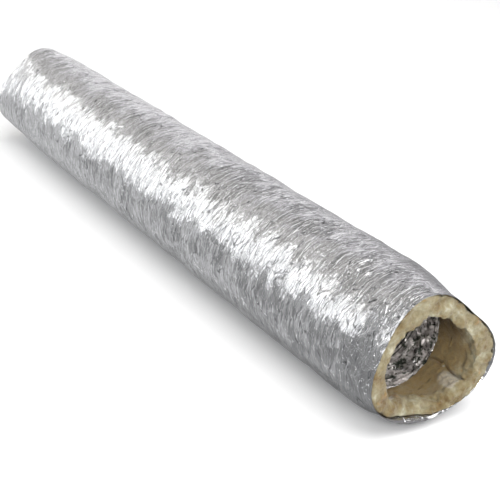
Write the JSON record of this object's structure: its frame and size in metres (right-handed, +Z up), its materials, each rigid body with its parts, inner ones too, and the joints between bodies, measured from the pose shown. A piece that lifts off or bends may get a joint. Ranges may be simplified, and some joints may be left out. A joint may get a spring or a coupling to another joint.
{
  "type": "insulated flexible air duct",
  "caption": "Flexible air duct with a wire-ribbed foil core, glass-wool insulation and a crinkled silver foil jacket, cut open at both ends.",
  "frame": {"origin": "centre of the resting footprint: halfway along the duct, on the plane it lies on", "axes": "+X along the duct towards its near end, +Y across it, +Z up from the floor; the duct's axis is 86.7 mm above the floor"},
  "size_m": [1.2, 0.1834, 0.1784],
  "materials": {
    "jacket_foil": "crinkled aluminised film, semi-bright, with fine wrinkles running round the duct",
    "glass_wool": "matt cream-yellow glass wool, fluffy and torn at the cut ends",
    "core_foil": "bright crumpled aluminium laminate",
    "spring_wire": "coppered or zinc-coated spring steel wire"
  },
  "bodies": {
    "middle": {"outer_jacket_middle": "jacket_foil", "glass_wool_middle": "glass_wool", "core_outer_ply_middle": "core_foil", "helix_wire_middle": "spring_wire", "core_inner_ply_middle": "core_foil"},
    "near_1": {"outer_jacket_near_1": "jacket_foil", "glass_wool_near_1": "glass_wool", "core_outer_ply_near_1": "core_foil", "helix_wire_near_1": "spring_wire", "core_inner_ply_near_1": "core_foil"},
    "near_2": {"outer_jacket_near_2": "jacket_foil", "glass_wool_near_2": "glass_wool", "core_outer_ply_near_2": "core_foil", "helix_wire_near_2": "spring_wire", "core_inner_ply_near_2": "core_foil"},
    "near_3": {"outer_jacket_near_3": "jacket_foil", "glass_wool_near_3": "glass_wool", "core_outer_ply_near_3": "core_foil", "helix_wire_near_3": "spring_wire", "core_inner_ply_near_3": "core_foil"},
    "near_4": {"outer_jacket_near_4": "jacket_foil", "glass_wool_near_4": "glass_wool", "core_outer_ply_near_4": "core_foil", "helix_wire_near_4": "spring_wire", "core_inner_ply_near_4": "core_foil"},
    "near_cuff": {"outer_jacket_near_cuff": "jacket_foil", "glass_wool_near_cuff": "glass_wool"},
    "far_1": {"outer_jacket_far_1": "jacket_foil", "glass_wool_far_1": "glass_wool", "core_outer_ply_far_1": "core_foil", "helix_wire_far_1": "spring_wire", "core_inner_ply_far_1": "core_foil"},
    "far_2": {"outer_jacket_far_2": "jacket_foil", "glass_wool_far_2": "glass_wool", "core_outer_ply_far_2": "core_foil", "helix_wire_far_2": "spring_wire", "core_inner_ply_far_2": "core_foil"},
    "far_3": {"outer_jacket_far_3": "jacket_foil", "glass_wool_far_3": "glass_wool", "core_outer_ply_far_3": "core_foil", "helix_wire_far_3": "spring_wire", "core_inner_ply_far_3": "core_foil"},
    "far_4": {"outer_jacket_far_4": "jacket_foil", "glass_wool_far_4": "glass_wool", "core_outer_ply_far_4": "core_foil", "helix_wire_far_4": "spring_wire", "core_inner_ply_far_4": "core_foil"},
    "far_cuff": {"outer_jacket_far_cuff": "jacket_foil", "glass_wool_far_cuff": "glass_wool"}
  },
  "joints": [
    {"name": "bend_near_inner", "type": "hinge", "parent": "middle", "child": "near_1", "pos_m": [0.04, 0, 0.0867], "axis": [0, 0, 1], "range_deg": [-25, 25]},
    {"name": "stretch_near", "type": "slide", "parent": "near_1", "child": "near_2", "axis": [-1, 0, 0], "range_m": [0, 0.075], "deforming": ["outer_jacket_near_1", "glass_wool_near_1", "core_outer_ply_near_1", "helix_wire_near_1", "core_inner_ply_near_1"]},
    {"name": "bend_near_outer", "type": "hinge", "parent": "near_2", "child": "near_3", "pos_m": [0.25, 0, 0.0867], "axis": [0, 0, 1], "range_deg": [-25, 25]},
    {"name": "lift_near", "type": "hinge", "parent": "near_3", "child": "near_4", "pos_m": [0.33, 0, 0.0867], "axis": [0, -1, 0], "range_deg": [0, 25]},
    {"name": "cuff_near", "type": "slide", "parent": "near_4", "child": "near_cuff", "axis": [-1, 0, 0], "range_m": [0, 0.11], "deforming": ["outer_jacket_near_4", "glass_wool_near_4"]},
    {"name": "bend_far_inner", "type": "hinge", "parent": "middle", "child": "far_1", "pos_m": [-0.04, 0, 0.0867], "axis": [0, 0, 1], "range_deg": [-25, 25]},
    {"name": "stretch_far", "type": "slide", "parent": "far_1", "child": "far_2", "axis": [1, 0, 0], "range_m": [0, 0.075], "deforming": ["outer_jacket_far_1", "glass_wool_far_1", "core_outer_ply_far_1", "helix_wire_far_1", "core_inner_ply_far_1"]},
    {"name": "bend_far_outer", "type": "hinge", "parent": "far_2", "child": "far_3", "pos_m": [-0.25, 0, 0.0867], "axis": [0, 0, 1], "range_deg": [-25, 25]},
    {"name": "lift_far", "type": "hinge", "parent": "far_3", "child": "far_4", "pos_m": [-0.33, 0, 0.0867], "axis": [0, 1, 0], "range_deg": [0, 25]},
    {"name": "cuff_far", "type": "slide", "parent": "far_4", "child": "far_cuff", "axis": [1, 0, 0], "range_m": [0, 0.11], "deforming": ["outer_jacket_far_4", "glass_wool_far_4"]}
  ],
  "couplings": [
    {"joint": "stretch_far", "follows": "stretch_near", "ratio": 1}
  ]
}
